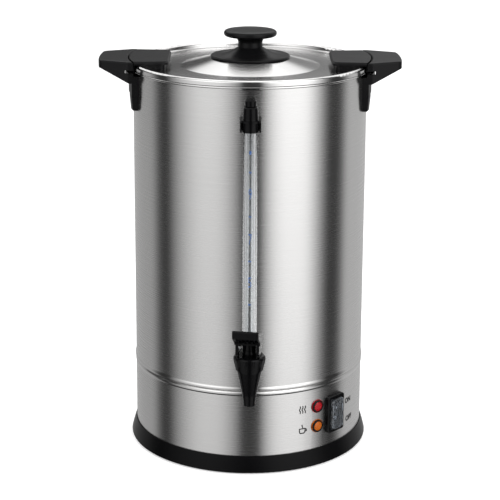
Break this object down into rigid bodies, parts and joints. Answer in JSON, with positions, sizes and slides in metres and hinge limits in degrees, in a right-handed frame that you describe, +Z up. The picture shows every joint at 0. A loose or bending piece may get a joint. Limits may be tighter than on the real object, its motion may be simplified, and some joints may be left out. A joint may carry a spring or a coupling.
{
  "type": "hot water urn",
  "caption": "Upright cylindrical steel hot water urn with a lift-off lid, side handles, a front tap with a sight tube, a rocker switch and two indicator lamps.",
  "frame": {"origin": "on the urn's vertical axis at the plane that it stands on", "axes": "+Z up, the tap and sight tube towards -Y, the two handles along +X and -X, switch and lamps on the skirt towards +X and -Y"},
  "size_m": [0.315, 0.3255, 0.4424],
  "materials": {
    "brushed_steel": "stainless sheet brushed round the tank",
    "lid_steel": "stainless sheet, spun and finely brushed",
    "tank_floor_steel": "plain stainless sheet",
    "screw_steel": "bright stainless fasteners",
    "aluminium": "cast aluminium plate",
    "heater_steel": "sheathed heating tube",
    "rubber": "silicone rubber",
    "tap_black": "black moulded plastic with a soft gloss",
    "black_plastic": "black heat-resistant plastic, fine grain",
    "lamp_black": "black plastic",
    "white_nylon": "natural nylon",
    "thermostat_brown": "phenolic plastic",
    "reset_red": "red plastic",
    "clear_tube": "clear tube",
    "clear_boot": "clear silicone cover",
    "red_lens": "red lamp lens",
    "amber_lens": "amber lamp lens"
  },
  "bodies": {
    "urn": {"foot_ring": "rubber", "base_ring": "black_plastic", "bottom_plate": "tank_floor_steel", "bottom_plate_screws": "screw_steel", "lower_skirt": "brushed_steel", "tank_shell": "brushed_steel", "tank_bottom": "tank_floor_steel", "heat_plate": "aluminium", "heating_element": "heater_steel", "thermostat_boil": "thermostat_brown", "thermostat_keep_warm": "thermostat_brown", "thermal_cutout": "thermostat_brown", "thermostat_screws": "screw_steel", "terminal_block": "white_nylon", "cord_gland": "black_plastic", "gland_nut": "black_plastic", "lamp_red_body": "lamp_black", "lamp_red_lens": "red_lens", "lamp_red_ring": "lamp_black", "lamp_amber_body": "lamp_black", "lamp_amber_lens": "amber_lens", "lamp_amber_ring": "lamp_black", "switch_frame": "lamp_black", "switch_body": "lamp_black", "switch_boot": "clear_boot", "handle_left": "black_plastic", "handle_right": "black_plastic", "handle_screws": "screw_steel", "gauge_tube": "clear_tube", "gauge_seal": "rubber", "gauge_bracket": "tap_black", "gauge_bracket_screw": "screw_steel", "gauge_cap": "tap_black", "gauge_vent_plug": "tap_black", "tap_body": "tap_black", "tap_washer_outer": "rubber", "tap_washer_inner": "rubber", "tap_nut": "white_nylon", "tap_bonnet": "tap_black", "tap_spring": "screw_steel"},
    "lid": {"lid_shell": "lid_steel", "lid_locating_ring": "lid_steel", "knob_flange": "black_plastic", "lid_knob": "black_plastic", "knob_screw": "screw_steel", "lid_ear_left": "black_plastic", "lid_ear_right": "black_plastic", "lid_ear_screws": "screw_steel"},
    "tap_stem": {"tap_stem": "tap_black", "tap_seat_cup": "rubber"},
    "tap_lever": {"tap_lever": "tap_black", "tap_lever_pin": "screw_steel"},
    "switch_rocker": {"switch_rocker": "lamp_black"},
    "reset_button": {"reset_button": "reset_red"}
  },
  "joints": [
    {"name": "lid_lift", "type": "slide", "parent": "urn", "child": "lid", "axis": [0, 0, 1], "range_m": [0, 0.15]},
    {"name": "tap_stem_lift", "type": "slide", "parent": "urn", "child": "tap_stem", "axis": [0, 0, 1], "range_m": [0, 0.0032], "stiffness_N_per_m": 20, "springref_m": -0.004, "deforming": ["tap_spring"]},
    {"name": "tap_lever_tilt", "type": "hinge", "parent": "tap_stem", "child": "tap_lever", "pos_m": [0, -0.164, 0.154], "axis": [0.9848, -0.1736, 0], "range_deg": [0, 25], "stiffness_Nm_per_rad": 0.07, "springref_deg": -20.05},
    {"name": "power_rocker", "type": "hinge", "parent": "urn", "child": "switch_rocker", "pos_m": [0.08893, -0.08381, 0.052], "axis": [-0.6858, -0.7278, 0], "range_deg": [0, 20]},
    {"name": "reset_press", "type": "slide", "parent": "urn", "child": "reset_button", "axis": [0, 0, 1], "range_m": [0, 0.0015], "stiffness_N_per_m": 60, "springref_m": -0.0005}
  ],
  "couplings": [
    {"joint": "tap_stem_lift", "follows": "tap_lever_tilt", "m_per_rad": 0.007333}
  ]
}
